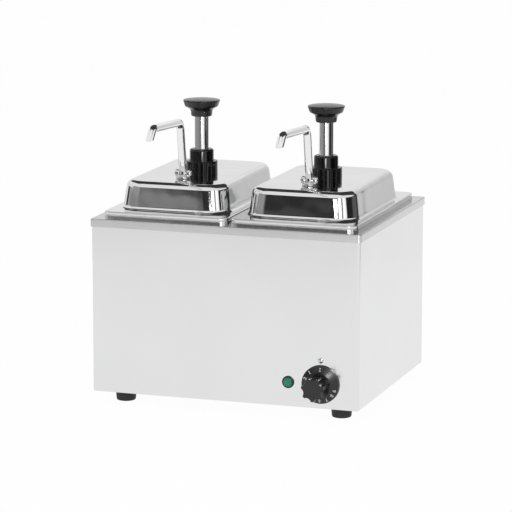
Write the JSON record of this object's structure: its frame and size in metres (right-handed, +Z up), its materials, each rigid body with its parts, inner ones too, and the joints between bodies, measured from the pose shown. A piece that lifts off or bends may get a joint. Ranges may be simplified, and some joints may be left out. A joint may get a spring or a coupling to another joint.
{
  "type": "countertop topping warmer",
  "caption": "Steel countertop warmer with a heated well, lidded quarter-size pans, lid pumps with swinging spouts, a dial and a pilot lamp.",
  "frame": {"origin": "middle of the whole plan outline, level with the underside of the feet", "axes": "+Z up, the control knob and the spouts' tips towards -Y, +X towards the knob's side"},
  "size_m": [0.353, 0.35, 0.3721],
  "materials": {
    "bright_sheet": "fine satin stainless sheet",
    "brushed_sheet": "satin stainless sheet",
    "galvanised_sheet": "dull zinc-coated sheet",
    "polished_steel": "polished stainless",
    "screw_steel": "plated",
    "spring_steel": "bright wire",
    "element_steel": "heat-darkened tube",
    "copper": "plain copper",
    "rubber": "matt black",
    "black_plastic": "fine black",
    "knob_plastic": "satin black",
    "lamp_plastic": "dark rim",
    "green_lens": "clear green",
    "pale_plastic": "plain",
    "clear_plastic": "milky white"
  },
  "bodies": {
    "housing": {"housing_wrapper": "bright_sheet", "base_plate": "galvanised_sheet", "rubber_feet": "rubber", "deck_plate": "brushed_sheet", "well_tank": "brushed_sheet", "heating_element": "element_steel", "element_clamp": "galvanised_sheet", "thermostat": "pale_plastic", "thermostat_nut": "screw_steel", "sensing_bulb": "copper", "lamp_bezel": "lamp_plastic", "lamp_lens": "green_lens", "lamp_body": "pale_plastic", "pointer_stud": "polished_steel", "cable_gland": "black_plastic", "gland_locknut": "black_plastic", "terminal_block": "pale_plastic"},
    "control_knob": {"control_knob": "knob_plastic", "thermostat_spindle": "screw_steel"},
    "left_pan": {"pan_left": "brushed_sheet"},
    "left_lid": {"lid_left": "polished_steel", "pump_cylinder_left": "black_plastic", "lock_nut_left": "black_plastic", "valve_body_left": "black_plastic", "intake_tube_left": "clear_plastic", "discharge_riser_left": "polished_steel", "wing_nut_left": "polished_steel", "return_spring_left": "spring_steel"},
    "left_plunger": {"press_knob_left": "knob_plastic", "plunger_tube_left": "polished_steel", "piston_left": "black_plastic"},
    "left_spout": {"spout_left": "polished_steel"},
    "left_inlet_disc": {"inlet_disc_left": "pale_plastic"},
    "left_outlet_disc": {"outlet_disc_left": "pale_plastic"},
    "right_pan": {"pan_right": "brushed_sheet"},
    "right_lid": {"lid_right": "polished_steel", "pump_cylinder_right": "black_plastic", "lock_nut_right": "black_plastic", "valve_body_right": "black_plastic", "intake_tube_right": "clear_plastic", "discharge_riser_right": "polished_steel", "wing_nut_right": "polished_steel", "return_spring_right": "spring_steel"},
    "right_plunger": {"press_knob_right": "knob_plastic", "plunger_tube_right": "polished_steel", "piston_right": "black_plastic"},
    "right_spout": {"spout_right": "polished_steel"},
    "right_inlet_disc": {"inlet_disc_right": "pale_plastic"},
    "right_outlet_disc": {"outlet_disc_right": "pale_plastic"}
  },
  "joints": [
    {"name": "control_knob_turn", "type": "hinge", "parent": "housing", "child": "control_knob", "pos_m": [0.126, -0.133, 0.047], "axis": [0, 1, 0], "range_deg": [0, 270]},
    {"name": "left_pan_lift", "type": "slide", "parent": "housing", "child": "left_pan", "axis": [0, 0, 1], "range_m": [0, 0.2]},
    {"name": "left_lid_lift", "type": "slide", "parent": "left_pan", "child": "left_lid", "axis": [0, 0, 1], "range_m": [0, 0.2]},
    {"name": "left_plunger_press", "type": "slide", "parent": "left_lid", "child": "left_plunger", "axis": [0, 0, -1], "range_m": [0, 0.038], "stiffness_N_per_m": 250, "springref_m": -0.02, "deforming": ["return_spring_left"]},
    {"name": "left_spout_swing", "type": "hinge", "parent": "left_lid", "child": "left_spout", "pos_m": [-0.0835, -0.048, 0.2795], "axis": [0, 0, 1], "range_deg": [-35, 35]},
    {"name": "left_inlet_disc_lift", "type": "slide", "parent": "left_lid", "child": "left_inlet_disc", "axis": [0, 0, 1], "range_m": [0, 0.003]},
    {"name": "left_outlet_disc_lift", "type": "slide", "parent": "left_lid", "child": "left_outlet_disc", "axis": [0, 0, 1], "range_m": [0, 0.003]},
    {"name": "right_pan_lift", "type": "slide", "parent": "housing", "child": "right_pan", "axis": [0, 0, 1], "range_m": [0, 0.2]},
    {"name": "right_lid_lift", "type": "slide", "parent": "right_pan", "child": "right_lid", "axis": [0, 0, 1], "range_m": [0, 0.2]},
    {"name": "right_plunger_press", "type": "slide", "parent": "right_lid", "child": "right_plunger", "axis": [0, 0, -1], "range_m": [0, 0.038], "stiffness_N_per_m": 250, "springref_m": -0.02, "deforming": ["return_spring_right"]},
    {"name": "right_spout_swing", "type": "hinge", "parent": "right_lid", "child": "right_spout", "pos_m": [0.0835, -0.048, 0.2795], "axis": [0, 0, 1], "range_deg": [-35, 35]},
    {"name": "right_inlet_disc_lift", "type": "slide", "parent": "right_lid", "child": "right_inlet_disc", "axis": [0, 0, 1], "range_m": [0, 0.003]},
    {"name": "right_outlet_disc_lift", "type": "slide", "parent": "right_lid", "child": "right_outlet_disc", "axis": [0, 0, 1], "range_m": [0, 0.003]}
  ]
}
